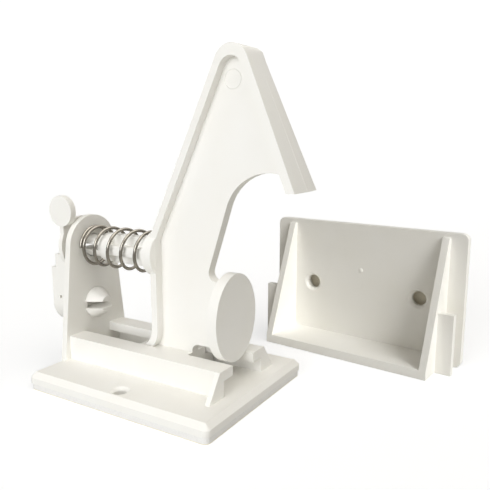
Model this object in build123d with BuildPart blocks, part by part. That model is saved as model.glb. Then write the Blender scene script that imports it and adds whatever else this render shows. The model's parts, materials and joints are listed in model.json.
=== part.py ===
from build123d import *
import math
import os

# Adhesive child-safety latch for a cabinet door or drawer, in two units.
# Latch unit: base plate with T-slot rails and an upright, a sprung sliding hook,
# a return spring and a lock-off lever. Catch unit: a loose bracket for the door.
# Frame: +X along the rails from the upright to the open end, +Y from the front
# rail to the rear rail, +Z up. The origin is the centre of the base's underside.

# adhesive pads
LINER_T = 0.2
FOAM_T = 1.6
PAD_INSET = 0.25
PAD_HOLE_D = 6.0

# base plate
BASE_L = 60.0
BASE_W = 48.0
BASE_R = 1.5
BASE_T = 3.1
BASE_CH = 1.4
BASE_Z0 = LINER_T + FOAM_T
BASE_TOP = BASE_Z0 + BASE_T
SCREW_Y = 19.8
SCREW_D = 3.5
SCREW_CSK_D = 4.9

# T-slot rails: a wall with a lip over the slot, and a gusset at the open end
RAIL_X1 = 24.9
RAIL_TOP = 11.8
LIP_T = 2.7
LIP_IN = 5.1
WALL_IN = 9.2
RAIL_OUT = 10.9
GUSSET_OUT = 15.7
GUSSET_T = 1.4

# upright
UP_X0 = -29.5
UP_X1 = -27.6
UP_FOOT = 12.85
UP_R = 9.0
ROD_Z = 37.2
SNAP_Z = 19.6
ROD_HOLE_D = 7.0
SNAP_HOLE_D = 7.1

# hook arm: thin web in the XZ plane inside a wider rim
WEB_T = 2.9
RIM_T = 2.0
RIM_Y = 4.0
ARM_X = -2.4
KNEE_Z = 41.9
APEX = (24.13, 97.4)
APEX_R_OUT = 4.8
APEX_R_IN = 3.2
RAMP_T = 2.2
RAMP_Y_TOP = 5.4
RAMP_Y_NOSE = 9.5
CREASE_Y_TOP = 1.6
CREASE_Y_NOSE = 3.0
CREASE_DEG = 5.0
NOSE = (41.0, 55.8)
NOTCH_C = (33.0, 47.4)
NOTCH_R = 12.8
NECK_C = (17.4, 33.9)
NECK_R = 2.2
STEM_TOP = 31.7
STEM_LOW = 13.5
FOOT_X0 = -7.4
FOOT_X1 = 9.5
FOOT_R = 2.0
FOOT_NECK_Y = 4.7
FOOT_TOP = 11.0
FLANGE_Y = 8.9
FLANGE_Z0 = BASE_TOP + 0.3
FLANGE_Z1 = 8.7
FLARE_R = 5.0

# push pad
PAD_X0 = 20.0
PAD_X1 = 22.9
PAD_HALF_W = 9.6
PAD_HALF_H = 11.7
PAD_Z = 22.6

# guide rod and spring seat
SEAT_X0 = -3.5
SEAT_X1 = -0.45
SEAT_R = 6.3
RIB_R = 4.3
RIB_T = 2.8
COLLAR_X0 = -21.2
COLLAR_X1 = -17.7
COLLAR_R = 4.2
SHAFT_R = 3.2
BARB_X0 = -31.3
BARB_X1 = -29.65
BARB_R = 3.8
ROD_SLOT = 1.6
ROD_SLOT_X1 = -22.6

# return spring
SPRING_R = 5.6
WIRE_D = 0.95
SPRING_GAP = 0.3

# lock-off lever
LEV_X0 = -33.1
LEV_X1 = -31.7
HUB_X1 = -29.6
HUB_R = 6.2
LEV_HEAD_R = 8.4
LEV_NECK_Y = 6.9
SWING = 16.0
PIN_R = 3.5
SNAP_HEAD_X1 = -22.9
SNAP_HEAD_X0 = -27.45
SNAP_HEAD_R = 4.6
SNAP_TIP_R = 2.3
SNAP_SLOT = 2.1
KEY_R = 4.2
KEY_SLOT = 7.0
BLOCK_UP_X = -36.6
BLOCK_LOW_X = -38.4
BLOCK_TOP = 34.6
BLOCK_STEP = 30.6
TAB_R = 4.5
TAB_Y0 = -7.8
TAB_Y1 = -5.9
TAB_X = -32.4
TAB_Z = 47.7

# catch bracket
CATCH_X = 7.6
CATCH_Y = 43.6
CATCH_YAW = -5.8
CATCH_W = 55.4
CATCH_H = 41.0
CATCH_D = 15.2
CATCH_PLATE_T = 2.4
CATCH_EAR = 5.1
CATCH_SHELF_T = 2.8
CATCH_SIDE_T = 2.2
CATCH_SIDE_H = 39.6
WING_V = 7.4
WING_T = 2.1
WING_W = 4.7
WING_H = 18.4
CATCH_HOLE_DX = 37.5
CATCH_HOLE_Z = 19.4
CATCH_HOLE_D = 4.6
CATCH_CSK_D = 6.2
CATCH_PAD_INSET = 1.8


def rotated(point, deg):
    # a point of the YZ plane turned about the lever's pivot
    a = math.radians(deg)
    dy = point[0]
    dz = point[1] - SNAP_Z
    return (dy * math.cos(a) - dz * math.sin(a), SNAP_Z + dy * math.sin(a) + dz * math.cos(a))


os.makedirs("parts", exist_ok=True)

# ---- base plate moulding ----
BASE_PLANE = Plane.XY.offset(BASE_Z0)
with BuildPart() as base_plate:
    with BuildSketch(BASE_PLANE):
        RectangleRounded(BASE_L, BASE_W, BASE_R)
    extrude(amount=BASE_T)
    chamfer(base_plate.faces().sort_by(Axis.Z)[-1].edges(), length=BASE_CH)
    # one rail section, drawn in YZ and mirrored
    with BuildSketch(Plane.YZ.offset(UP_X0 + 1.0)):
        with BuildLine():
            Polyline(
                (-RAIL_OUT, BASE_TOP - 0.5),
                (-RAIL_OUT, RAIL_TOP),
                (-LIP_IN, RAIL_TOP),
                (-LIP_IN, RAIL_TOP - LIP_T),
                (-WALL_IN, RAIL_TOP - LIP_T),
                (-WALL_IN, BASE_TOP - 0.5),
                close=True,
            )
        make_face()
        mirror(about=Plane.YZ)
    extrude(amount=RAIL_X1 - UP_X0 - 1.0)
    # gussets at the open end of the rails
    with BuildSketch(Plane.YZ.offset(RAIL_X1 - GUSSET_T)):
        with BuildLine():
            Polyline(
                (-RAIL_OUT + 0.5, BASE_TOP - 0.5),
                (-GUSSET_OUT - 0.3, BASE_TOP - 0.5),
                (-GUSSET_OUT, BASE_TOP),
                (-RAIL_OUT - 0.1, RAIL_TOP),
                (-RAIL_OUT + 0.5, RAIL_TOP),
                close=True,
            )
        make_face()
        mirror(about=Plane.YZ)
    extrude(amount=GUSSET_T)
    # upright: tapering wall with a round top
    TAN_A = math.radians(7.0)
    with BuildSketch(Plane.YZ.offset(UP_X0)):
        with BuildLine():
            Polyline(
                (-UP_FOOT, BASE_TOP - 0.5),
                (-UP_R * math.cos(TAN_A), ROD_Z + UP_R * math.sin(TAN_A)),
                (UP_R * math.cos(TAN_A), ROD_Z + UP_R * math.sin(TAN_A)),
                (UP_FOOT, BASE_TOP - 0.5),
                close=True,
            )
        make_face()
        with Locations((0, ROD_Z)):
            Circle(UP_R)
    extrude(amount=UP_X1 - UP_X0)
    # rod hole and lever pin hole in the upright
    with BuildSketch(Plane.YZ.offset(UP_X0 - 1.0)):
        with Locations((0, ROD_Z)):
            Circle(ROD_HOLE_D / 2)
        with Locations((0, SNAP_Z)):
            Circle(SNAP_HOLE_D / 2)
    extrude(amount=UP_X1 - UP_X0 + 2.0, mode=Mode.SUBTRACT)
    # two countersunk screw holes
    with Locations(Plane.XY.offset(BASE_TOP)):
        with Locations((0, -SCREW_Y), (0, SCREW_Y)):
            CounterSinkHole(SCREW_D / 2, SCREW_CSK_D / 2, counter_sink_angle=82)
base_plate.part.label = "base_plate"
export_step(base_plate.part, "parts/base_plate.step")

# ---- adhesive foam under the base, and its release liner ----
with BuildPart() as base_foam_pad:
    with BuildSketch(Plane.XY.offset(LINER_T)):
        RectangleRounded(BASE_L - 2 * PAD_INSET, BASE_W - 2 * PAD_INSET, BASE_R)
        with Locations((0, -SCREW_Y), (0, SCREW_Y)):
            Circle(PAD_HOLE_D / 2, mode=Mode.SUBTRACT)
    extrude(amount=FOAM_T)
base_foam_pad.part.label = "base_foam_pad"
export_step(base_foam_pad.part, "parts/base_foam_pad.step")

with BuildPart() as base_liner:
    with BuildSketch(Plane.XY):
        RectangleRounded(BASE_L - 2 * PAD_INSET, BASE_W - 2 * PAD_INSET, BASE_R)
        with Locations((0, -SCREW_Y), (0, SCREW_Y)):
            Circle(PAD_HOLE_D / 2, mode=Mode.SUBTRACT)
    extrude(amount=LINER_T)
base_liner.part.label = "base_liner"
export_step(base_liner.part, "parts/base_liner.step")

# ---- hook slider: arm, foot, push pad, spring seat and guide rod in one moulding ----
ARM_L = math.hypot(APEX[0] - ARM_X, APEX[1] - KNEE_Z)
ARM_N = ((APEX[1] - KNEE_Z) / ARM_L, -(APEX[0] - ARM_X) / ARM_L)
RAMP_L = math.hypot(NOSE[0] - APEX[0], NOSE[1] - APEX[1])
RAMP_U = ((NOSE[0] - APEX[0]) / RAMP_L, (NOSE[1] - APEX[1]) / RAMP_L)
RAMP_N = (RAMP_U[1], -RAMP_U[0])
RAMP_END = RAMP_L + 1.2
NOTCH_A1 = 72.5
NOTCH_A2 = 163.0
RAMP_OUT = (-RAMP_N[0], 0, -RAMP_N[1])
# plane that leaves the ramp's face at the crease and tilts towards the rear
CREASE_L = math.hypot(RAMP_L - 20.0, CREASE_Y_NOSE - CREASE_Y_TOP)
CREASE_A = math.asin((CREASE_Y_NOSE - CREASE_Y_TOP) / CREASE_L)
TILT = math.radians(CREASE_DEG)
CREASE_PLANE = Plane(
    origin=(APEX[0] + RAMP_U[0] * 20.0, CREASE_Y_TOP, APEX[1] + RAMP_U[1] * 20.0),
    x_dir=(RAMP_U[0] * math.cos(CREASE_A), math.sin(CREASE_A), RAMP_U[1] * math.cos(CREASE_A)),
    z_dir=(
        RAMP_OUT[0] * math.cos(TILT) - RAMP_U[0] * math.sin(CREASE_A) * math.sin(TILT),
        math.cos(CREASE_A) * math.sin(TILT),
        RAMP_OUT[2] * math.cos(TILT) - RAMP_U[1] * math.sin(CREASE_A) * math.sin(TILT),
    ),
)
# inner corner of the rim, where the inner edges of the arm and the ramp would meet
COS_N = ARM_N[0] * RAMP_N[0] + ARM_N[1] * RAMP_N[1]
IN_A = (RIM_T - COS_N * RAMP_T) / (1 - COS_N * COS_N)
IN_B = (RAMP_T - COS_N * RIM_T) / (1 - COS_N * COS_N)
APEX_IN = (
    APEX[0] + IN_A * ARM_N[0] + IN_B * RAMP_N[0],
    APEX[1] + IN_A * ARM_N[1] + IN_B * RAMP_N[1],
)
# the web ends this far inside the rim
WEB_IN = 1.0
APEX_WEB = (
    APEX[0] + WEB_IN * (ARM_N[0] + RAMP_N[0]) / (1 + COS_N),
    APEX[1] + WEB_IN * (ARM_N[1] + RAMP_N[1]) / (1 + COS_N),
)


def on_circle(centre, radius, deg):
    a = math.radians(deg)
    return (centre[0] + radius * math.cos(a), centre[1] + radius * math.sin(a))


def on_ramp(along, inward):
    # a point of the XZ plane, measured down the ramp from the apex
    return (
        APEX[0] + RAMP_U[0] * along + RAMP_N[0] * inward,
        APEX[1] + RAMP_U[1] * along + RAMP_N[1] * inward,
    )


FLARE_IN = on_circle((FOOT_X0, FOOT_TOP + FLARE_R), FLARE_R + WEB_IN, -50.0)

with BuildPart() as hook_slider:
    # web, with the deep round notch for the catch
    with BuildSketch(Plane.XZ) as web_sketch:
        with BuildLine():
            Line(on_circle(NOTCH_C, NOTCH_R, NOTCH_A2), on_circle(NECK_C, NECK_R, 162.5))
            CenterArc(NECK_C, NECK_R, 162.5, 107.5)
            Polyline(
                on_circle(NECK_C, NECK_R, 270.0),
                (PAD_X0 + 0.5, STEM_TOP),
                (PAD_X0 + 0.5, STEM_LOW),
                (FOOT_X1 + FOOT_R, STEM_LOW),
            )
            CenterArc((FOOT_X1 + FOOT_R, STEM_LOW - FOOT_R), FOOT_R, 90, 90)
            Polyline(
                (FOOT_X1, STEM_LOW - FOOT_R),
                (FOOT_X1, FLANGE_Z0 + 1.0),
                (FLARE_IN[0], FLANGE_Z0 + 1.0),
                FLARE_IN,
            )
            CenterArc((FOOT_X0, FOOT_TOP + FLARE_R), FLARE_R + WEB_IN, -50, 50)
            Polyline(
                (ARM_X + WEB_IN, FOOT_TOP + FLARE_R),
                (ARM_X + WEB_IN, KNEE_Z - 0.2),
                APEX_WEB,
                on_ramp(RAMP_L - 6.0, WEB_IN),
                on_circle(NOTCH_C, NOTCH_R, NOTCH_A1),
            )
            CenterArc(NOTCH_C, NOTCH_R, NOTCH_A1, NOTCH_A2 - NOTCH_A1)
        make_face()
        fillet(web_sketch.vertices().sort_by(Axis.Y)[-1], radius=APEX_R_OUT - WEB_IN)
    extrude(amount=WEB_T / 2, both=True)
    # rim round the back edge, the apex and the ramp
    with BuildSketch(Plane.XZ) as rim_sketch:
        with BuildLine():
            Polyline(
                (ARM_X, FOOT_TOP + FLARE_R),
                (ARM_X, KNEE_Z),
                APEX,
                on_ramp(RAMP_END, 0.0),
                on_ramp(RAMP_END, RAMP_T),
                APEX_IN,
                (ARM_X + RIM_T, KNEE_Z - 0.45),
                (ARM_X + RIM_T, FOOT_TOP + FLARE_R),
            )
            CenterArc((FOOT_X0, FOOT_TOP + FLARE_R), FLARE_R + RIM_T, 0, -50)
            Polyline(
                on_circle((FOOT_X0, FOOT_TOP + FLARE_R), FLARE_R + RIM_T, -50.0),
                (FOOT_X0 + 3.4, FOOT_TOP - 0.6),
                (FOOT_X0, FOOT_TOP - 0.6),
                (FOOT_X0, FOOT_TOP),
            )
            CenterArc((FOOT_X0, FOOT_TOP + FLARE_R), FLARE_R, -90, 90)
        make_face()
        fillet(rim_sketch.vertices().sort_by_distance(APEX)[0], radius=APEX_R_OUT)
        fillet(rim_sketch.vertices().sort_by_distance(APEX_IN)[0], radius=APEX_R_IN)
    extrude(amount=RIM_Y)
    extrude(rim_sketch.sketch, amount=-RAMP_Y_TOP)
    # behind the arm the rim is drafted, narrowest from the knee down
    with BuildSketch(Plane.YZ.offset(FOOT_X0 - 1.0)):
        with BuildLine():
            Polyline(
                (RIM_Y, FOOT_TOP - 2.0),
                (RIM_Y, KNEE_Z),
                (RAMP_Y_TOP, 88.0),
                (9.0, 88.0),
                (9.0, FOOT_TOP - 2.0),
                close=True,
            )
        make_face()
    extrude(amount=22.0 - FOOT_X0 + 1.0, mode=Mode.SUBTRACT)
    # the ramp widens towards the nose on the rear side
    with BuildSketch(Plane(origin=(APEX[0], 0, APEX[1]), x_dir=(RAMP_U[0], 0, RAMP_U[1]), z_dir=RAMP_OUT)):
        with BuildLine():
            Polyline(
                (11.6, RIM_Y - 0.5),
                (RAMP_END, RIM_Y - 0.5),
                (RAMP_END, RAMP_Y_NOSE),
                (11.6, RAMP_Y_TOP),
                close=True,
            )
        make_face()
    extrude(amount=-RAMP_T)
    # behind a shallow crease the ramp falls away to the rear
    with BuildSketch(CREASE_PLANE):
        with Locations((0, 6.0)):
            Rectangle(60.0, 12.0)
    extrude(amount=3.0, mode=Mode.SUBTRACT)
    # the nose is cut level
    with BuildSketch(Plane.XY.offset(NOSE[1])):
        with Locations((NOSE[0] - 1.0, 0)):
            Rectangle(8.0, 24.0)
    extrude(amount=-5.0, mode=Mode.SUBTRACT)
    # foot: neck between the lips and flange under them
    with BuildSketch(Plane.XY.offset(FLANGE_Z0)):
        with Locations(((FOOT_X0 + FOOT_X1) / 2, 0)):
            Rectangle(FOOT_X1 - FOOT_X0, 2 * FOOT_NECK_Y)
    extrude(amount=FOOT_TOP - FLANGE_Z0)
    with BuildSketch(Plane.XY.offset(FLANGE_Z0)):
        with Locations(((FOOT_X0 - 1.6 + FOOT_X1) / 2, 0)):
            RectangleRounded(FOOT_X1 - FOOT_X0 + 1.6, 2 * FLANGE_Y, 0.8)
    extrude(amount=FLANGE_Z1 - FLANGE_Z0)
    # push pad
    with BuildSketch(Plane.YZ.offset(PAD_X0)):
        with Locations((0, PAD_Z)):
            Ellipse(PAD_HALF_W, PAD_HALF_H)
    extrude(amount=PAD_X1 - PAD_X0)
    # spring seat disc
    with BuildSketch(Plane.YZ.offset(SEAT_X0)):
        with Locations((0, ROD_Z)):
            Circle(SEAT_R)
    extrude(amount=SEAT_X1 - SEAT_X0)
    # guide rod: cross-ribbed length, collar, split shaft and barbed end
    with BuildSketch(Plane.YZ.offset(COLLAR_X1 - 0.2)):
        with Locations((0, ROD_Z)):
            Circle(RIB_R)
        for sy in (-1, 1):
            for sz in (-1, 1):
                with Locations((sy * (RIB_T / 2 + 5), ROD_Z + sz * (RIB_T / 2 + 5))):
                    Rectangle(10, 10, mode=Mode.SUBTRACT)
    extrude(amount=SEAT_X0 - COLLAR_X1 + 0.4)
    with BuildSketch(Plane.YZ.offset(COLLAR_X0)):
        with Locations((0, ROD_Z)):
            Circle(COLLAR_R)
    extrude(amount=COLLAR_X1 - COLLAR_X0)
    with BuildSketch(Plane.XZ):
        with BuildLine():
            Polyline(
                (COLLAR_X0 + 0.5, ROD_Z),
                (COLLAR_X0 + 0.5, ROD_Z + SHAFT_R),
                (BARB_X1, ROD_Z + SHAFT_R),
                (BARB_X1, ROD_Z + BARB_R),
                (BARB_X1 - 0.5, ROD_Z + BARB_R),
                (BARB_X0, ROD_Z + BARB_R - 1.0),
                (BARB_X0, ROD_Z),
                close=True,
            )
        make_face()
    revolve(axis=Axis((0, 0, ROD_Z), (1, 0, 0)))
    with BuildSketch(Plane.XZ):
        with Locations(((BARB_X0 - 1 + ROD_SLOT_X1) / 2, ROD_Z)):
            Rectangle(ROD_SLOT_X1 - BARB_X0 + 1, ROD_SLOT)
    extrude(amount=BARB_R + 1, both=True, mode=Mode.SUBTRACT)
hook_slider.part.label = "hook_slider"
export_step(hook_slider.part, "parts/hook_slider.step")

# ---- return spring: two close coils at the upright, then open coils to the seat ----
SPRING_X0 = UP_X1 + SPRING_GAP + WIRE_D / 2
SPRING_X1 = SEAT_X0 - SPRING_GAP - WIRE_D / 2
STEPS = 12
# running length against turns: close coil, open coils, a short closing part at the seat
TURN_X = [(0.0, SPRING_X0), (1.0, SPRING_X0 + 1.1), (2.0, -21.4), (5.0, -6.4), (5.6, SPRING_X1)]


def spring_x(turn):
    for (t0, x0), (t1, x1) in zip(TURN_X, TURN_X[1:]):
        if turn <= t1:
            return x0 + (x1 - x0) * (turn - t0) / (t1 - t0)
    return TURN_X[-1][1]


SPRING_PTS = []
for i in range(int(5.6 * STEPS) + 1):
    turn = i / STEPS
    ang = math.radians(180.0 - 360.0 * turn)
    SPRING_PTS.append(
        (spring_x(turn), SPRING_R * math.cos(ang), ROD_Z + SPRING_R * math.sin(ang))
    )
with BuildPart() as return_spring:
    with BuildLine() as spring_line:
        Spline(*SPRING_PTS)
    with BuildSketch(Plane(origin=spring_line.line @ 0, z_dir=spring_line.line % 0)):
        Circle(WIRE_D / 2)
    sweep()
return_spring.part.label = "return_spring"
export_step(return_spring.part, "parts/return_spring.step")

# ---- lock-off lever: turns on the split pin and traps the retracted rod ----
KEY_END = rotated((0.0, ROD_Z), -SWING)
KEY_ARC = CenterArc((0, SNAP_Z), ROD_Z - SNAP_Z, 90 - SWING, SWING, mode=Mode.PRIVATE)
BARB_ARC = CenterArc((0, SNAP_Z), ROD_Z - SNAP_Z, 88 - SWING, SWING + 4, mode=Mode.PRIVATE)
with BuildPart() as lock_lever:
    # flat head round the rod, narrowing to the block
    with BuildSketch(Plane.YZ.offset(LEV_X0)):
        with Locations((0, ROD_Z)):
            Circle(LEV_HEAD_R)
        with Locations(KEY_END):
            Circle(4.7)
        with BuildLine():
            Polyline(
                (-LEV_NECK_Y, SNAP_Z),
                (-LEV_NECK_Y, ROD_Z - 4.0),
                (LEV_NECK_Y, ROD_Z - 4.0),
                (LEV_NECK_Y, SNAP_Z),
                close=True,
            )
        make_face()
        with Locations((0, SNAP_Z)):
            Circle(LEV_NECK_Y)
        # lug that carries the finger tab
        with BuildLine():
            Polyline(
                (TAB_Y0 + 0.3, ROD_Z + 2.0),
                (TAB_Y0 + 0.3, TAB_Z - 0.5),
                (TAB_Y1, TAB_Z - 0.5),
                (TAB_Y1 + 0.9, TAB_Z - 2.9),
                (TAB_Y1 + 3.6, ROD_Z + 6.9),
                close=True,
            )
        make_face()
    extrude(amount=LEV_X1 - LEV_X0)
    # hub spacer against the upright
    with BuildSketch(Plane.YZ.offset(LEV_X1 - 0.2)):
        with Locations((0, SNAP_Z)):
            Circle(HUB_R)
    extrude(amount=HUB_X1 - LEV_X1 + 0.2)
    # thick grip block on the outer side, in two steps
    with BuildSketch(Plane.YZ.offset(LEV_X0 + 0.2)):
        with Locations((0, (SNAP_Z + BLOCK_TOP) / 2)):
            Rectangle(2 * LEV_NECK_Y, BLOCK_TOP - SNAP_Z)
        with Locations((0, SNAP_Z)):
            Circle(LEV_NECK_Y)
    extrude(amount=BLOCK_UP_X - LEV_X0 - 0.2)
    with BuildSketch(Plane.YZ.offset(BLOCK_UP_X + 0.2)):
        with Locations((0, (SNAP_Z + BLOCK_STEP) / 2)):
            Rectangle(2 * LEV_NECK_Y, BLOCK_STEP - SNAP_Z)
        with Locations((0, SNAP_Z)):
            Circle(LEV_NECK_Y)
    extrude(amount=BLOCK_LOW_X - BLOCK_UP_X - 0.2)
    # round finger tab
    with BuildSketch(Plane.XZ.offset(-TAB_Y0)):
        with Locations((TAB_X, TAB_Z)):
            Circle(TAB_R)
    extrude(amount=TAB_Y0 - TAB_Y1)
    # split snap pin: shaft through the upright and tapered head inside it
    with BuildSketch(Plane.XZ):
        with BuildLine():
            Polyline(
                (LEV_X1 - 0.5, SNAP_Z),
                (LEV_X1 - 0.5, SNAP_Z + PIN_R),
                (SNAP_HEAD_X0, SNAP_Z + PIN_R),
                (SNAP_HEAD_X0, SNAP_Z + SNAP_HEAD_R),
                (SNAP_HEAD_X0 + 0.8, SNAP_Z + SNAP_HEAD_R),
                (SNAP_HEAD_X1, SNAP_Z + SNAP_TIP_R),
                (SNAP_HEAD_X1, SNAP_Z),
                close=True,
            )
        make_face()
    revolve(axis=Axis((0, 0, SNAP_Z), (1, 0, 0)))
    with BuildSketch(Plane.XZ):
        with Locations(((HUB_X1 + SNAP_HEAD_X1 + 1) / 2, SNAP_Z)):
            Rectangle(SNAP_HEAD_X1 + 1 - HUB_X1, SNAP_SLOT)
    extrude(amount=SNAP_HEAD_R + 1, both=True, mode=Mode.SUBTRACT)
    # keyhole: a round the barb clears, and an arc slot the barb does not
    with BuildSketch(Plane.YZ.offset(LEV_X0 - 0.1)):
        with Locations((0, ROD_Z)):
            Circle(KEY_R)
        SlotArc(arc=KEY_ARC, height=KEY_SLOT)
    extrude(amount=LEV_X1 - LEV_X0 + 0.2, mode=Mode.SUBTRACT)
    # clearance in the block for the barb, at rest and swung
    with BuildSketch(Plane.YZ.offset(LEV_X0 - 0.05)):
        SlotArc(arc=BARB_ARC, height=2 * KEY_R + 0.2)
    extrude(amount=-8.0, mode=Mode.SUBTRACT)
lock_lever.part.label = "lock_lever"
export_step(lock_lever.part, "parts/lock_lever.step")

# ---- catch bracket, standing loose behind the latch ----
YAW = math.radians(CATCH_YAW)
C_U = (math.cos(YAW), math.sin(YAW), 0)
C_V = (-math.sin(YAW), math.cos(YAW), 0)


def catch_point(u, v, z):
    # a point given along the bracket (u), into its depth (v) and up (z)
    return (CATCH_X + C_U[0] * u + C_V[0] * v, CATCH_Y + C_U[1] * u + C_V[1] * v, z)


FLOOR = Plane(origin=catch_point(0, 0, 0), x_dir=C_U, z_dir=(0, 0, 1))
# front of the back plate: sketch x along u, sketch y up
FRONT = Plane(origin=catch_point(0, CATCH_D, 0), x_dir=C_U, z_dir=(-C_V[0], -C_V[1], 0))


def side_plane(u):
    # sketch x into the depth, sketch y up, extruding along u
    return Plane(origin=catch_point(u, 0, 0), x_dir=C_V, z_dir=C_U)


with BuildPart() as catch_bracket:
    # back plate with rounded corners
    with BuildSketch(FRONT):
        with Locations((CATCH_W / 2, CATCH_H / 2)):
            RectangleRounded(CATCH_W + 2 * CATCH_EAR, CATCH_H, 2.0)
    extrude(amount=-CATCH_PLATE_T)
    # shelf
    with BuildSketch(FLOOR):
        with Locations((CATCH_W / 2, CATCH_D / 2 + 0.25)):
            Rectangle(CATCH_W, CATCH_D + 0.5)
    extrude(amount=CATCH_SHELF_T)
    # triangular sides
    for u0 in (0.0, CATCH_W - CATCH_SIDE_T):
        with BuildSketch(side_plane(u0)):
            with BuildLine():
                Polyline(
                    (0, 0),
                    (0, CATCH_SHELF_T),
                    (CATCH_D - 1.1, CATCH_SIDE_H),
                    (CATCH_D + 0.5, CATCH_SIDE_H),
                    (CATCH_D + 0.5, 0),
                    close=True,
                )
            make_face()
        extrude(amount=CATCH_SIDE_T)
    # stiffening wings outside the sides
    for u0 in (-WING_W, CATCH_W - 0.5):
        with BuildSketch(FLOOR):
            with Locations((u0 + (WING_W + 0.5) / 2, WING_V + WING_T / 2)):
                Rectangle(WING_W + 0.5, WING_T)
        extrude(amount=WING_H)
    # two countersunk screw holes
    with BuildSketch(FRONT.offset(1.0)):
        for s in (-1, 1):
            with Locations((CATCH_W / 2 + s * CATCH_HOLE_DX / 2, CATCH_HOLE_Z)):
                Circle(CATCH_HOLE_D / 2)
    extrude(amount=-CATCH_PLATE_T - 2.0, mode=Mode.SUBTRACT)
    for s in (-1, 1):
        hole = catch_point(CATCH_W / 2 + s * CATCH_HOLE_DX / 2, CATCH_D, CATCH_HOLE_Z)
        with Locations(Plane(origin=hole, z_dir=(C_V[0], C_V[1], 0))):
            Cone(
                CATCH_CSK_D / 2,
                CATCH_HOLE_D / 2,
                (CATCH_CSK_D - CATCH_HOLE_D) / 2,
                align=(Align.CENTER, Align.CENTER, Align.MIN),
                mode=Mode.SUBTRACT,
            )
catch_bracket.part.label = "catch_bracket"
export_step(catch_bracket.part, "parts/catch_bracket.step")

# ---- adhesive foam behind the catch, and its release liner ----
PAD_W = CATCH_W + 2 * CATCH_EAR - 2 * CATCH_PAD_INSET
PAD_H = CATCH_H - 2 * CATCH_PAD_INSET
with BuildPart() as catch_foam_pad:
    with BuildSketch(FRONT.offset(-CATCH_PLATE_T)):
        with Locations((CATCH_W / 2, CATCH_H / 2)):
            RectangleRounded(PAD_W, PAD_H, 1.5)
        for s in (-1, 1):
            with Locations((CATCH_W / 2 + s * CATCH_HOLE_DX / 2, CATCH_HOLE_Z)):
                Circle(PAD_HOLE_D / 2, mode=Mode.SUBTRACT)
    extrude(amount=-FOAM_T)
catch_foam_pad.part.label = "catch_foam_pad"
export_step(catch_foam_pad.part, "parts/catch_foam_pad.step")

with BuildPart() as catch_liner:
    with BuildSketch(FRONT.offset(-CATCH_PLATE_T - FOAM_T)):
        with Locations((CATCH_W / 2, CATCH_H / 2)):
            RectangleRounded(PAD_W, PAD_H, 1.5)
        for s in (-1, 1):
            with Locations((CATCH_W / 2 + s * CATCH_HOLE_DX / 2, CATCH_HOLE_Z)):
                Circle(PAD_HOLE_D / 2, mode=Mode.SUBTRACT)
    extrude(amount=-LINER_T)
catch_liner.part.label = "catch_liner"
export_step(catch_liner.part, "parts/catch_liner.step")
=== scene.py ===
"""Adhesive child-safety cabinet latch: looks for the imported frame, laid out as an add-on."""

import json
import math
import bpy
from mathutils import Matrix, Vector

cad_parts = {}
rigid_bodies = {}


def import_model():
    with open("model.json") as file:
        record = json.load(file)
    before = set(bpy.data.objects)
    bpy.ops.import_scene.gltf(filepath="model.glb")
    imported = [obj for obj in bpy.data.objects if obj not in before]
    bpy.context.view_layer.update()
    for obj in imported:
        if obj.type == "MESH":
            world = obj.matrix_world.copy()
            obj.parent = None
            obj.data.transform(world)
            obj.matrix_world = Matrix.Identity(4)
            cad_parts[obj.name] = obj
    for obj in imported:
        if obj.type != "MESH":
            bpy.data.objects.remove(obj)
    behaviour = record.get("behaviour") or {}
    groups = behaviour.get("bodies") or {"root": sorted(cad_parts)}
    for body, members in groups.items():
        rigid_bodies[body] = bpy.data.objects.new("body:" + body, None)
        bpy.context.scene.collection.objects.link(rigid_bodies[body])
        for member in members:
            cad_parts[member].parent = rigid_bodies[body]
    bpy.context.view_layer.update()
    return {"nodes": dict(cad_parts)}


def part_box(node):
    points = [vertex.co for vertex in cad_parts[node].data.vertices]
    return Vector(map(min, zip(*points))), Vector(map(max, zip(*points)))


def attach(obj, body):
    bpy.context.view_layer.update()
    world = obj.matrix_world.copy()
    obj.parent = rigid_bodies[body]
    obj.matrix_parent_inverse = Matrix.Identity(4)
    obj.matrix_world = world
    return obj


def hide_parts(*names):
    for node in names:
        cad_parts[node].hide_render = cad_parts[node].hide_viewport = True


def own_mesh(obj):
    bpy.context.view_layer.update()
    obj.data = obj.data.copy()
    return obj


bl_info = {
    "name": "Cabinet Safety Latch",
    "version": (1, 0, 0),
    "blender": (4, 5, 0),
    "location": "3D View > Sidebar > Safety Latch",
    "description": "Builds the mouldings, spring, foam pads and stage of a cabinet safety latch",
    "category": "Object",
}

import bmesh
import bpy
from mathutils import Vector

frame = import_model()
MM = 0.001

# the return spring: (turns, millimetres along), a close first coil and then open ones
COILS = ((0.0, 0.0), (1.0, 1.1), (2.0, 5.4), (3.0, 10.4), (4.0, 15.4), (5.0, 20.4), (5.6, 22.5))
TURNS, COILED_MM = COILS[-1]
WIRE_POINTS = 57 * 6
WIRE_SIDES = 16

# corners nearer than this are one corner
MERGE = 0.002 * MM

# angles that tell an edge from a curve
FLAT_DEG = 0.4
BEVEL_DEG = 38
SMOOTH_DEG = 50

# weight of a face's area against its corners when broad faces are kept flat
AREA_WEIGHT = 80

# the part of a noise's 0 to 1 that it mostly fills
NOISE_SPAN = {"From Min": 0.3, "From Max": 0.7}

# the catch stands turned by this much about the vertical
CATCH_YAW_DEG = 5.8

# suns: name, direction towards it, strength, angle, colour, whether it lights the catch alone
SUNS = (
    ("key_front", (0.02, -0.97, 0.22), 2.12, 44, (0.95, 0.97, 1.0), False),
    ("fill_upper_right", (0.41, -0.10, 0.90), 1.4, 70, (1.0, 0.98, 0.94), False),
    ("key_front_right", (0.76, -0.36, 0.55), 2.55, 40, (1.0, 1.0, 0.98), True),
)

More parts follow.
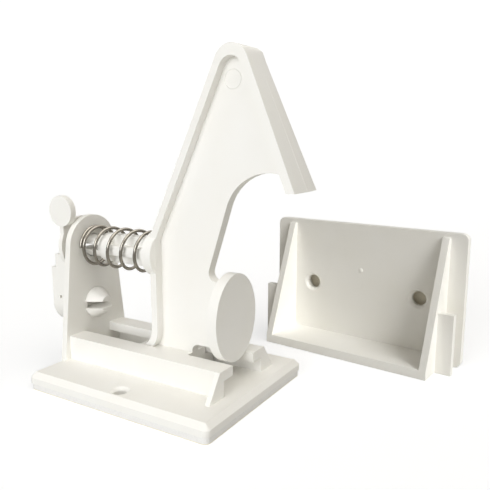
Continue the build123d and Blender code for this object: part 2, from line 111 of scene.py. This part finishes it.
# camera: place, degrees down and round, and focal length in frame widths
CAMERA_AT = (0.09926, -0.12186, 0.06808)
CAMERA_DOWN = 10.35
CAMERA_ROUND = 31.22
CAMERA_FOCAL = 577.48 / 490.0
SENSOR_MM = 36.0


# ---------------------------------------------------------------- settings


class LatchSizes(bpy.types.PropertyGroup):
    """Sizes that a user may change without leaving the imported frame."""

    edge_radius: bpy.props.FloatProperty(
        name="Edge radius",
        description="Radius that the mould leaves on the outer edges of the mouldings",
        default=0.28 * MM,
        min=0.0,
        precision=5,
        subtype="DISTANCE",
        unit="LENGTH",
    )
    wire_diameter: bpy.props.FloatProperty(
        name="Spring wire",
        description="Diameter of the return spring's wire",
        default=0.95 * MM,
        min=0.0003,
        precision=5,
        subtype="DISTANCE",
        unit="LENGTH",
    )
    foam_cell: bpy.props.FloatProperty(
        name="Foam cell",
        description="Width of one cell of the foam tape",
        default=0.45 * MM,
        min=0.0001,
        precision=5,
        subtype="DISTANCE",
        unit="LENGTH",
    )


class LatchColours(bpy.types.PropertyGroup):
    """Colours, as sRGB hex text."""

    moulding: bpy.props.StringProperty(
        name="Moulding", description="Warm white of the ABS mouldings", default="F9F8F5"
    )
    moulding_shade: bpy.props.StringProperty(
        name="Moulding shade",
        description="Slightly yellower flow marks in the ABS",
        default="F5F3EC",
    )
    foam: bpy.props.StringProperty(
        name="Foam", description="White of the foam tape", default="F6F5F2"
    )
    liner: bpy.props.StringProperty(
        name="Liner", description="Cream of the release paper", default="F7F0DC"
    )
    wire: bpy.props.StringProperty(
        name="Wire", description="Grey of the plated spring wire", default="A39E95"
    )


# ---------------------------------------------------------------- helpers


def linear(hex_colour):
    """sRGB hex text to a linear RGBA colour."""
    out = []
    for i in (0, 2, 4):
        c = int(hex_colour[i : i + 2], 16) / 255.0
        out.append(c / 12.92 if c <= 0.04045 else ((c + 0.055) / 1.055) ** 2.4)
    return (*out, 1.0)


def darker(colour, share):
    """A linear colour with its red, green and blue cut to a share."""
    return (*(c * share for c in colour[:3]), colour[3])


def add_node(tree, kind, inputs=None, **settings):
    """Adds one node: settings are its properties, inputs its sockets' values or links."""
    made = tree.nodes.new(kind)
    for key, value in settings.items():
        setattr(made, key, value)
    for key, value in (inputs or {}).items():
        socket = made.inputs[key]
        if isinstance(value, bpy.types.NodeSocket):
            tree.links.new(value, socket)
        else:
            socket.default_value = value
    return made


def new_material(name):
    """An empty node material and its tree."""
    mat = bpy.data.materials.new(name)
    mat.use_nodes = True
    mat.node_tree.nodes.clear()
    return mat, mat.node_tree


def moulded_abs():
    # Injection-moulded ABS, warm white, from a lightly blasted mould: a soft sheen,
    # a faint grain that breaks up highlights, and slightly yellower flow marks.
    found = bpy.data.materials.get("abs_moulded_warm_white")
    if found:
        return found
    colours = bpy.context.scene.latch_colours
    mat, tree = new_material("abs_moulded_warm_white")
    place = add_node(tree, "ShaderNodeTexCoord").outputs["Object"]
    # flow marks about 14 mm wide
    flow = add_node(
        tree,
        "ShaderNodeTexNoise",
        {"Vector": place, "Scale": 70.0, "Detail": 3.0, "Roughness": 0.45},
    )
    tone = add_node(
        tree,
        "ShaderNodeMix",
        {
            0: flow.outputs["Fac"],
            6: linear(colours.moulding),
            7: linear(colours.moulding_shade),
        },
        data_type="RGBA",
    )
    # polish varies over about 4 mm
    polish = add_node(tree, "ShaderNodeTexNoise", {"Vector": place, "Scale": 260.0, "Detail": 2.0})
    rough = add_node(
        tree,
        "ShaderNodeMapRange",
        {**NOISE_SPAN, "Value": polish.outputs["Fac"], "To Min": 0.34, "To Max": 0.44},
    )
    # blasted grain of about 0.2 mm, drawn a little coarser than the real 0.05 mm so that it shows
    grain = add_node(tree, "ShaderNodeTexNoise", {"Vector": place, "Scale": 4800.0, "Detail": 2.0})
    bump = add_node(
        tree,
        "ShaderNodeBump",
        {"Strength": 0.12, "Distance": 0.03 * MM, "Height": grain.outputs["Fac"]},
    )
    shader = add_node(
        tree,
        "ShaderNodeBsdfPrincipled",
        {
            "Base Color": tone.outputs[2],
            "Roughness": rough.outputs["Result"],
            "IOR": 1.54,
            "Normal": bump.outputs["Normal"],
        },
    )
    add_node(tree, "ShaderNodeOutputMaterial", {"Surface": shader.outputs["BSDF"]})
    return mat


def foam_tape():
    # Closed-cell polyethylene foam tape: matt, with cut cells that pit its edge, and painted shade
    # that darkens the grooves between the cells.
    found = bpy.data.materials.get("pe_foam_tape_die_cut")
    if found:
        return found
    scene = bpy.context.scene
    mat, tree = new_material("pe_foam_tape_die_cut")
    place = add_node(tree, "ShaderNodeTexCoord").outputs["Object"]
    cells = add_node(
        tree, "ShaderNodeTexVoronoi", {"Vector": place, "Scale": 1.0 / scene.latch_sizes.foam_cell}
    )
    base = linear(scene.latch_colours.foam)
    # painted shade: up to 7% darker where the cell grooves sink, following the same mask as the
    # bump
    tone = add_node(
        tree,
        "ShaderNodeMix",
        {0: cells.outputs["Distance"], 6: base, 7: darker(base, 0.93)},
        data_type="RGBA",
    )
    bump = add_node(
        tree,
        "ShaderNodeBump",
        {"Strength": 0.6, "Distance": 0.12 * MM, "Height": cells.outputs["Distance"]},
        invert=True,
    )
    shader = add_node(
        tree,
        "ShaderNodeBsdfPrincipled",
        {
            "Base Color": tone.outputs[2],
            "Roughness": 0.92,
            "IOR": 1.45,
            "Normal": bump.outputs["Normal"],
        },
    )
    add_node(tree, "ShaderNodeOutputMaterial", {"Surface": shader.outputs["BSDF"]})
    return mat


def release_paper():
    # Silicone-coated release paper: cream, with long fibres under a smooth film.
    found = bpy.data.materials.get("release_paper_siliconised")
    if found:
        return found
    mat, tree = new_material("release_paper_siliconised")
    place = add_node(tree, "ShaderNodeTexCoord").outputs["Object"]
    # fibres about 2 mm long and 0.15 mm wide
    turned = add_node(tree, "ShaderNodeMapping", {"Vector": place, "Scale": (500.0, 6500.0, 500.0)})
    fibre = add_node(
        tree,
        "ShaderNodeTexNoise",
        {"Vector": turned.outputs["Vector"], "Scale": 1.0, "Detail": 4.0},
    )
    base = linear(bpy.context.scene.latch_colours.liner)
    tone = add_node(
        tree,
        "ShaderNodeMix",
        {0: fibre.outputs["Fac"], 6: base, 7: darker(base, 0.86)},
        data_type="RGBA",
    )
    bump = add_node(
        tree,
        "ShaderNodeBump",
        {"Strength": 0.2, "Distance": 0.04 * MM, "Height": fibre.outputs["Fac"]},
    )
    shader = add_node(
        tree,
        "ShaderNodeBsdfPrincipled",
        {
            "Base Color": tone.outputs[2],
            "Roughness": 0.42,
            "IOR": 1.45,
            "Normal": bump.outputs["Normal"],
        },
    )
    add_node(tree, "ShaderNodeOutputMaterial", {"Surface": shader.outputs["BSDF"]})
    return mat


def spring_wire():
    # Drawn spring steel with bright plating: mirror-like, with die lines along the wire.
    found = bpy.data.materials.get("spring_steel_drawn_plated")
    if found:
        return found
    mat, tree = new_material("spring_steel_drawn_plated")
    around = add_node(tree, "ShaderNodeAttribute", attribute_name="wire_place")
    # die lines, 14 round the wire
    lines = add_node(
        tree, "ShaderNodeMapping", {"Vector": around.outputs["Vector"], "Scale": (40.0, 14.0, 1.0)}
    )
    drawn = add_node(
        tree,
        "ShaderNodeTexNoise",
        {"Vector": lines.outputs["Vector"], "Scale": 1.0, "Detail": 2.0},
    )
    base = linear(bpy.context.scene.latch_colours.wire)
    tone = add_node(
        tree,
        "ShaderNodeMix",
        {0: drawn.outputs["Fac"], 6: base, 7: darker(base, 0.7)},
        data_type="RGBA",
    )
    rough = add_node(
        tree,
        "ShaderNodeMapRange",
        {**NOISE_SPAN, "Value": drawn.outputs["Fac"], "To Min": 0.12, "To Max": 0.22},
    )
    bump = add_node(
        tree,
        "ShaderNodeBump",
        {"Strength": 0.15, "Distance": 0.02 * MM, "Height": drawn.outputs["Fac"]},
    )
    shader = add_node(
        tree,
        "ShaderNodeBsdfPrincipled",
        {
            "Base Color": tone.outputs[2],
            "Metallic": 1.0,
            "Roughness": rough.outputs["Result"],
            "Normal": bump.outputs["Normal"],
        },
    )
    add_node(tree, "ShaderNodeOutputMaterial", {"Surface": shader.outputs["BSDF"]})
    return mat


def white_sweep():
    # Matt white paper sweep under the latch: it glows slightly, as on a light table.
    mat, tree = new_material("stage_white_paper")
    place = add_node(tree, "ShaderNodeTexCoord").outputs["Object"]
    fine = add_node(tree, "ShaderNodeTexNoise", {"Vector": place, "Scale": 900.0, "Detail": 3.0})
    tone = add_node(
        tree,
        "ShaderNodeMix",
        {0: fine.outputs["Fac"], 6: linear("D2D2D1"), 7: linear("CCCCCB")},
        data_type="RGBA",
    )
    shader = add_node(
        tree, "ShaderNodeBsdfPrincipled", {"Base Color": tone.outputs[2], "Roughness": 0.95}
    )
    glow = add_node(
        tree, "ShaderNodeEmission", {"Color": (0.96, 0.97, 1.0, 1.0), "Strength": 0.52}
    )
    both = add_node(tree, "ShaderNodeAddShader", {0: shader.outputs["BSDF"], 1: glow.outputs[0]})
    seen = add_node(tree, "ShaderNodeLightPath").outputs["Is Camera Ray"]
    paper = add_node(
        tree, "ShaderNodeMixShader", {0: seen, 1: shader.outputs["BSDF"], 2: both.outputs[0]}
    )
    add_node(tree, "ShaderNodeOutputMaterial", {"Surface": paper.outputs[0]})
    return mat


def put_in_scene(mesh, name, material):
    """An object for a finished mesh, at the origin, with one material."""
    mesh.name = name
    mesh.materials.clear()
    mesh.materials.append(material)
    obj = bpy.data.objects.new(name, mesh)
    bpy.context.scene.collection.objects.link(obj)
    return obj


def as_plain(obj, name, material):
    """The object's evaluated shape as a plain mesh with no modifiers."""
    bpy.context.view_layer.update()
    shape = obj.evaluated_get(bpy.context.evaluated_depsgraph_get())
    mesh = bpy.data.meshes.new_from_object(shape)
    obj.modifiers.clear()
    bpy.data.objects.remove(obj)
    return put_in_scene(mesh, name, material)


def joined_copy(node):
    """A CAD node's mesh with its loose triangles merged and its flat faces joined."""
    bm = bmesh.new()
    bm.from_mesh(frame["nodes"][node].data)
    bmesh.ops.remove_doubles(bm, verts=bm.verts, dist=MERGE)
    bmesh.ops.dissolve_limit(
        bm,
        angle_limit=math.radians(FLAT_DEG),
        use_dissolve_boundaries=False,
        verts=bm.verts,
        edges=bm.edges,
        delimit=set(),
    )
    mesh = bpy.data.meshes.new(node + "_joined")
    bm.to_mesh(mesh)
    bm.free()
    return mesh


def uncut_sheet(node):
    """The outer hull of a flat CAD node, which closes its holes."""
    bm = bmesh.new()
    bm.from_mesh(frame["nodes"][node].data)
    bmesh.ops.remove_doubles(bm, verts=bm.verts, dist=MERGE)
    hull = bmesh.ops.convex_hull(bm, input=bm.verts)
    spare = {g for key in ("geom_interior", "geom_unused") for g in hull[key]}
    corners = [g for g in spare if isinstance(g, bmesh.types.BMVert)]
    bmesh.ops.delete(bm, geom=corners, context="VERTS")
    kept = {g for g in hull["geom"] if isinstance(g, bmesh.types.BMFace)}
    bmesh.ops.delete(bm, geom=[f for f in bm.faces if f not in kept], context="FACES")
    bmesh.ops.recalc_face_normals(bm, faces=bm.faces)
    mesh = bpy.data.meshes.new(node + "_sheet")
    bm.to_mesh(mesh)
    bm.free()
    return mesh


def smooth_by_angle(obj):
    """Smooth shading, with edges sharper than SMOOTH_DEG kept sharp."""
    bm = bmesh.new()
    bm.from_mesh(obj.data)
    for face in bm.faces:
        face.smooth = True
    limit = math.radians(SMOOTH_DEG)
    for edge in bm.edges:
        edge.smooth = len(edge.link_faces) == 2 and edge.calc_face_angle() < limit
    bm.to_mesh(obj.data)
    bm.free()


def flat_faces_flat(obj):
    """Normals weighted by face area, so that broad faces shade flat and only the radii turn."""
    weigh = obj.modifiers.new("weigh", "WEIGHTED_NORMAL")
    weigh.mode = "FACE_AREA"
    weigh.weight = AREA_WEIGHT
    weigh.keep_sharp = True
    bpy.context.view_layer.update()
    shape = obj.evaluated_get(bpy.context.evaluated_depsgraph_get())
    mesh = bpy.data.meshes.new_from_object(shape)
    obj.modifiers.clear()
    mesh.name = obj.name
    obj.data = mesh


def raised_line(start, end, out, width, height):
    """A low ridge between two points of a face, as a parting line leaves."""
    start, end, out = Vector(start), Vector(end), Vector(out).normalized()
    side = (end - start).cross(out).normalized() * width / 2
    bm = bmesh.new()
    rise = out * height
    for point in (start, end):
        for spot in (point + side - rise, point - side - rise, point + rise):
            bm.verts.new(spot)
    bmesh.ops.convex_hull(bm, input=bm.verts)
    bmesh.ops.recalc_face_normals(bm, faces=bm.faces)
    mesh = bpy.data.meshes.new("ridge")
    bm.to_mesh(mesh)
    bm.free()
    return mesh


def softened(node, name, width, cutters=(), details=()):
    """A moulding with the small edge radii that its mould leaves, cuts and raised details."""
    obj = bpy.data.objects.new(name + "_raw", joined_copy(node))
    bpy.context.scene.collection.objects.link(obj)
    for cutter in cutters:
        cut = obj.modifiers.new("cut", "BOOLEAN")
        cut.operation = "DIFFERENCE"
        cut.solver = "EXACT"
        cut.object = cutter
    bevel = obj.modifiers.new("edges", "BEVEL")
    bevel.width = width
    bevel.segments = 2
    bevel.limit_method = "ANGLE"
    bevel.angle_limit = math.radians(BEVEL_DEG)
    bevel.harden_normals = False
    bevel.use_clamp_overlap = True
    piece = as_plain(obj, name, moulded_abs())
    for cutter in cutters:
        bpy.data.objects.remove(cutter)
    bm = bmesh.new()
    bm.from_mesh(piece.data)
    for detail in details:
        bm.from_mesh(detail)
        bpy.data.meshes.remove(detail)
    bm.to_mesh(piece.data)
    bm.free()
    smooth_by_angle(piece)
    flat_faces_flat(piece)
    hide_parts(node)
    return piece


def lathe(profile, centre, axis, steps=48):
    """A closed ring turned from (radius, height) points round an axis through a centre."""
    axis = Vector(axis).normalized()
    side = axis.orthogonal().normalized()
    other = axis.cross(side)
    bm = bmesh.new()
    rings = []
    for i in range(steps):
        a = 2 * math.pi * i / steps
        out = side * math.cos(a) + other * math.sin(a)
        rings.append([bm.verts.new(Vector(centre) + out * r + axis * h) for r, h in profile])
    for i, ring in enumerate(rings):
        after = rings[(i + 1) % steps]
        for j in range(len(profile)):
            k = (j + 1) % len(profile)
            bm.faces.new((ring[j], after[j], after[k], ring[k]))
    bmesh.ops.remove_doubles(bm, verts=bm.verts, dist=1e-7)
    bmesh.ops.recalc_face_normals(bm, faces=bm.faces)
    mesh = bpy.data.meshes.new("turned")
    bm.to_mesh(mesh)
    bm.free()
    return mesh


# ---------------------------------------------------------------- pieces


class LATCH_OT_base(bpy.types.Operator):
    """Base moulding: plate, rails and upright with softened edges"""

    bl_idname = "latch.base"
    bl_label = "Base moulding"

    def execute(self, context):
        sizes = context.scene.latch_sizes
        piece = softened("base_plate", "base_moulding", sizes.edge_radius * 1.4)
        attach(piece, "base")
        return {"FINISHED"}


class LATCH_OT_hook(bpy.types.Operator):
    """Hook moulding: arm, pad, foot, spring seat and guide rod"""

    bl_idname = "latch.hook"
    bl_label = "Hook moulding"

    def execute(self, context):
        sizes = context.scene.latch_sizes
        # ring that an ejector pin leaves on the web, both sides
        marks = []
        for side in (-1, 1):
            ring = [(2.2 * MM, -0.1 * MM), (2.2 * MM, 0.0), (2.3 * MM, 0.09 * MM)]
            ring += [(2.4 * MM, 0.0), (2.4 * MM, -0.1 * MM)]
            marks.append(lathe(ring, (22.9 * MM, side * 1.45 * MM, 82.3 * MM), (0, side, 0)))
        # parting line down the middle of the ramp to the nose
        ramp_top = (30.1 * MM, 1.4 * MM, 82.6 * MM)
        ramp_nose = (40.9 * MM, 3.0 * MM, 56.0 * MM)
        ramp_out = (0.927, 0.0, 0.376)
        marks.append(raised_line(ramp_top, ramp_nose, ramp_out, 0.34 * MM, 0.07 * MM))
        piece = softened("hook_slider", "hook_moulding", sizes.edge_radius, details=marks)
        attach(piece, "hook")
        return {"FINISHED"}


class LATCH_OT_lever(bpy.types.Operator):
    """Lock-off lever with its split snap pin"""

    bl_idname = "latch.lever"
    bl_label = "Lock-off lever"

    def execute(self, context):
        sizes = context.scene.latch_sizes
        # small blind core hole in the side of the grip block
        hole = lathe(
            [(0.0, 0.0), (0.55 * MM, 0.0), (0.55 * MM, 2.2 * MM), (0.0, 2.2 * MM)],
            (-35.0 * MM, -7.6 * MM, 21.6 * MM),
            (0, 1, 0),
            24,
        )
        cutter = bpy.data.objects.new("hole", hole)
        context.scene.collection.objects.link(cutter)
        width = sizes.edge_radius * 0.8
        piece = softened("lock_lever", "lever_moulding", width, cutters=[cutter])
        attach(piece, "lever")
        return {"FINISHED"}


class LATCH_OT_catch(bpy.types.Operator):
    """Catch bracket: plate, shelf, sides and wings"""

    bl_idname = "latch.catch"
    bl_label = "Catch bracket"

    def execute(self, context):
        sizes = context.scene.latch_sizes
        # stub of plastic that the mould's gate leaves between the screw holes
        stub = [(0.0, -0.1 * MM), (0.75 * MM, -0.1 * MM), (0.7 * MM, 0.12 * MM)]
        stub += [(0.2 * MM, 0.3 * MM), (0.0, 0.3 * MM)]
        yaw = math.radians(CATCH_YAW_DEG)
        forward = (-math.sin(yaw), -math.cos(yaw), 0)
        gate = lathe(stub, (35.9 * MM, 56.0 * MM, 25.8 * MM), forward, 24)
        width = sizes.edge_radius * 2.2
        piece = softened("catch_bracket", "catch_moulding", width, details=[gate])
        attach(piece, "catch")
        return {"FINISHED"}


class LATCH_OT_spring(bpy.types.Operator):
    """Return spring: wire led round the guide rod by geometry nodes"""

    bl_idname = "latch.spring"
    bl_label = "Return spring"

    def execute(self, context):
        low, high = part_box("return_spring")
        sizes = context.scene.latch_sizes
        wire = sizes.wire_diameter
        tree = bpy.data.node_groups.new("spring_wire_path", "GeometryNodeTree")
        face = tree.interface
        face.new_socket("Geometry", in_out="OUTPUT", socket_type="NodeSocketGeometry")
        wanted = {
            "Start": low.x + wire / 2,
            "End": high.x - wire / 2,
            "Coil radius": (high.z - low.z) / 2 - wire / 2,
            "Wire radius": wire / 2,
            "Height": (high.z + low.z) / 2,
            "Turns": TURNS,
        }
        ids = {}
        for label in wanted:
            socket = face.new_socket(label, in_out="INPUT", socket_type="NodeSocketFloat")
            ids[label] = socket.identifier
        given = add_node(tree, "NodeGroupInput").outputs
        line = add_node(tree, "GeometryNodeMeshLine", {"Count": WIRE_POINTS}, count_mode="TOTAL")
        index = add_node(tree, "GeometryNodeInputIndex").outputs[0]
        part = add_node(
            tree, "ShaderNodeMath", {0: index, 1: WIRE_POINTS - 1.0}, operation="DIVIDE"
        ).outputs[0]
        turn = add_node(
            tree, "ShaderNodeMath", {0: part, 1: given["Turns"]}, operation="MULTIPLY"
        ).outputs[0]
        # the wire starts at the front and turns towards the top
        angle = add_node(
            tree,
            "ShaderNodeMath",
            {0: turn, 1: -2 * math.pi, 2: math.pi},
            operation="MULTIPLY_ADD",
        ).outputs[0]
        # how far along the spring each turn has come
        along = add_node(tree, "ShaderNodeFloatCurve", {"Value": part, "Factor": 1.0})
        curve = along.mapping.curves[0]
        curve.points[0].location = (0.0, 0.0)
        curve.points[-1].location = (1.0, 1.0)
        for turns, along_mm in COILS[1:-1]:
            curve.points.new(turns / TURNS, along_mm / COILED_MM)
        for point in curve.points:
            point.handle_type = "AUTO"
        along.mapping.update()
        x = add_node(
            tree,
            "ShaderNodeMapRange",
            {"Value": along.outputs[0], "To Min": given["Start"], "To Max": given["End"]},
        ).outputs["Result"]
        cos = add_node(tree, "ShaderNodeMath", {0: angle}, operation="COSINE").outputs[0]
        sin = add_node(tree, "ShaderNodeMath", {0: angle}, operation="SINE").outputs[0]
        y = add_node(
            tree, "ShaderNodeMath", {0: cos, 1: given["Coil radius"]}, operation="MULTIPLY"
        ).outputs[0]
        z = add_node(
            tree,
            "ShaderNodeMath",
            {0: sin, 1: given["Coil radius"], 2: given["Height"]},
            operation="MULTIPLY_ADD",
        ).outputs[0]
        spot = add_node(tree, "ShaderNodeCombineXYZ", {"X": x, "Y": y, "Z": z}).outputs[0]
        moved = add_node(
            tree, "GeometryNodeSetPosition", {"Geometry": line.outputs[0], "Position": spot}
        ).outputs[0]
        path = add_node(tree, "GeometryNodeMeshToCurve", {"Mesh": moved}).outputs[0]
        go = add_node(tree, "GeometryNodeSplineParameter")
        path = add_node(tree, "GeometryNodeCaptureAttribute", {"Geometry": path}, domain="POINT")
        path.capture_items.new("FLOAT", "along")
        tree.links.new(go.outputs["Factor"], path.inputs[1])
        ring = add_node(
            tree,
            "GeometryNodeCurvePrimitiveCircle",
            {"Resolution": WIRE_SIDES, "Radius": given["Wire radius"]},
            mode="RADIUS",
        ).outputs[0]
        round_go = add_node(tree, "GeometryNodeSplineParameter")
        ring = add_node(tree, "GeometryNodeCaptureAttribute", {"Geometry": ring}, domain="POINT")
        ring.capture_items.new("FLOAT", "around")
        tree.links.new(round_go.outputs["Factor"], ring.inputs[1])
        swept = add_node(
            tree,
            "GeometryNodeCurveToMesh",
            {"Curve": path.outputs[0], "Profile Curve": ring.outputs[0], "Fill Caps": True},
        ).outputs[0]
        place = add_node(
            tree, "ShaderNodeCombineXYZ", {"X": path.outputs[1], "Y": ring.outputs[1]}
        ).outputs[0]
        stored = add_node(
            tree,
            "GeometryNodeStoreNamedAttribute",
            {"Geometry": swept, "Name": "wire_place", "Value": place},
            data_type="FLOAT_VECTOR",
            domain="POINT",
        ).outputs[0]
        real = add_node(tree, "GeometryNodeRealizeInstances", {"Geometry": stored}).outputs[0]
        done = add_node(
            tree, "GeometryNodeSetMaterial", {"Geometry": real, "Material": spring_wire()}
        ).outputs[0]
        add_node(tree, "NodeGroupOutput", {0: done})
        obj = bpy.data.objects.new("spring_raw", bpy.data.meshes.new("spring_raw"))
        context.scene.collection.objects.link(obj)
        mod = obj.modifiers.new("wire", "NODES")
        mod.node_group = tree
        for label, value in wanted.items():
            mod[ids[label]] = value
        piece = as_plain(obj, "return_spring_wire", spring_wire())
        if len(piece.data.polygons) < WIRE_POINTS * 2:
            raise RuntimeError("the spring's wire was not made")
        bm = bmesh.new()
        bm.from_mesh(piece.data)
        bmesh.ops.recalc_face_normals(bm, faces=bm.faces)
        bm.to_mesh(piece.data)
        bm.free()
        smooth_by_angle(piece)
        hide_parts("return_spring")
        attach(piece, "base")
        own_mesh(piece)
        return {"FINISHED"}


class LATCH_OT_pads(bpy.types.Operator):
    """Foam tape pads and their release paper"""

    bl_idname = "latch.pads"
    bl_label = "Adhesive pads"

    def execute(self, context):
        for node, body in (("base_foam_pad", "base"), ("catch_foam_pad", "catch")):
            obj = bpy.data.objects.new(node + "_raw", joined_copy(node))
            context.scene.collection.objects.link(obj)
            bevel = obj.modifiers.new("edges", "BEVEL")
            bevel.width = 0.25 * MM
            bevel.segments = 3
            bevel.limit_method = "ANGLE"
            bevel.angle_limit = math.radians(BEVEL_DEG)
            piece = as_plain(obj, node + "_tape", foam_tape())
            smooth_by_angle(piece)
            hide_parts(node)
            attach(piece, body)
        liner = frame["nodes"]["base_liner"]
        liner.data.materials.clear()
        liner.data.materials.append(release_paper())
        # the catch's release paper is one uncut sheet, which closes the screw holes from behind
        paper = put_in_scene(uncut_sheet("catch_liner"), "catch_release_paper", release_paper())
        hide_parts("catch_liner")
        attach(paper, "catch")
        return {"FINISHED"}


class LATCH_OT_stage(bpy.types.Operator):
    """Paper floor, soft lights, world and camera"""

    bl_idname = "latch.stage"
    bl_label = "Stage"

    def execute(self, context):
        scene = context.scene
        scene.view_settings.view_transform = "Standard"
        scene.view_settings.look = "None"
        # floor
        bm = bmesh.new()
        bmesh.ops.create_grid(bm, x_segments=1, y_segments=1, size=3.0)
        mesh = bpy.data.meshes.new("paper_floor")
        bm.to_mesh(mesh)
        bm.free()
        mesh.materials.append(white_sweep())
        floor = bpy.data.objects.new("paper_floor", mesh)
        scene.collection.objects.link(floor)
        # world: white behind, a bright room in reflections, a dim warm room as a light
        world = bpy.data.worlds.new("white_room")
        scene.world = world
        world.use_nodes = True
        tree = world.node_tree
        tree.nodes.clear()
        path = add_node(tree, "ShaderNodeLightPath").outputs
        room = add_node(
            tree, "ShaderNodeBackground", {"Color": (1.0, 0.95, 0.85, 1.0), "Strength": 0.21}
        )
        # reflections see a room that is dark at the horizon and bright overhead
        toward = add_node(tree, "ShaderNodeTexCoord").outputs["Generated"]
        up = add_node(tree, "ShaderNodeSeparateXYZ", {0: toward}).outputs["Z"]
        level = add_node(
            tree,
            "ShaderNodeMapRange",
            {"Value": up, "From Min": 0.1, "From Max": 0.5, "To Min": 0.03, "To Max": 1.4},
        ).outputs["Result"]
        gloss = add_node(
            tree, "ShaderNodeBackground", {"Color": (1.0, 0.98, 0.94, 1.0), "Strength": level}
        )
        back = add_node(
            tree, "ShaderNodeBackground", {"Color": (1.0, 1.0, 1.0, 1.0), "Strength": 1.05}
        )
        lit = add_node(
            tree,
            "ShaderNodeMixShader",
            {0: path["Is Glossy Ray"], 1: room.outputs[0], 2: gloss.outputs[0]},
        )
        mixed = add_node(
            tree,
            "ShaderNodeMixShader",
            {0: path["Is Camera Ray"], 1: lit.outputs[0], 2: back.outputs[0]},
        )
        add_node(tree, "ShaderNodeOutputWorld", {"Surface": mixed.outputs[0]})
        # soft lamps: the latch and the catch are each lit from their own side
        groups = {
            True: bpy.data.collections.new("catch_lit"),
            False: bpy.data.collections.new("latch_lit"),
        }
        for obj in scene.objects:
            if obj.type == "MESH":
                groups["catch" in obj.name].objects.link(obj)
        for name, toward, energy, spread, colour, side in SUNS:
            light = bpy.data.lights.new(name, "SUN")
            light.energy = energy
            light.angle = math.radians(spread)
            light.color = colour
            lamp = bpy.data.objects.new(name, light)
            lamp.rotation_euler = Vector(toward).normalized().to_track_quat("Z", "Y").to_euler()
            scene.collection.objects.link(lamp)
            lamp.light_linking.receiver_collection = groups[side]
        # camera
        data = bpy.data.cameras.new("camera")
        data.sensor_width = SENSOR_MM
        data.lens = CAMERA_FOCAL * SENSOR_MM
        data.clip_start = 0.005
        data.clip_end = 20.0
        camera = bpy.data.objects.new("camera", data)
        camera.location = CAMERA_AT
        camera.rotation_euler = (math.radians(90.0 - CAMERA_DOWN), 0.0, math.radians(CAMERA_ROUND))
        scene.collection.objects.link(camera)
        scene.camera = camera
        return {"FINISHED"}


PIECES = (
    LATCH_OT_base,
    LATCH_OT_hook,
    LATCH_OT_lever,
    LATCH_OT_catch,
    LATCH_OT_spring,
    LATCH_OT_pads,
    LATCH_OT_stage,
)


class LATCH_PT_panel(bpy.types.Panel):
    """Lists the latch's pieces and settings"""

    bl_idname = "LATCH_PT_panel"
    bl_label = "Safety Latch"
    bl_space_type = "VIEW_3D"
    bl_region_type = "UI"
    bl_category = "Safety Latch"

    def draw(self, context):
        layout = self.layout
        for group in (context.scene.latch_sizes, context.scene.latch_colours):
            box = layout.box()
            for key in group.__annotations__:
                box.prop(group, key)
        for piece in PIECES:
            layout.operator(piece.bl_idname)


CLASSES = (LatchSizes, LatchColours, *PIECES, LATCH_PT_panel)


def register():
    for cls in CLASSES:
        bpy.utils.register_class(cls)
    bpy.types.Scene.latch_sizes = bpy.props.PointerProperty(type=LatchSizes)
    bpy.types.Scene.latch_colours = bpy.props.PointerProperty(type=LatchColours)


def unregister():
    del bpy.types.Scene.latch_colours
    del bpy.types.Scene.latch_sizes
    for cls in reversed(CLASSES):
        bpy.utils.unregister_class(cls)


def main():
    """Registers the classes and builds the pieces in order."""
    register()
    bpy.ops.latch.base()
    bpy.ops.latch.hook()
    bpy.ops.latch.lever()
    bpy.ops.latch.catch()
    bpy.ops.latch.spring()
    bpy.ops.latch.pads()
    bpy.ops.latch.stage()


if __name__ == "__main__":
    main()
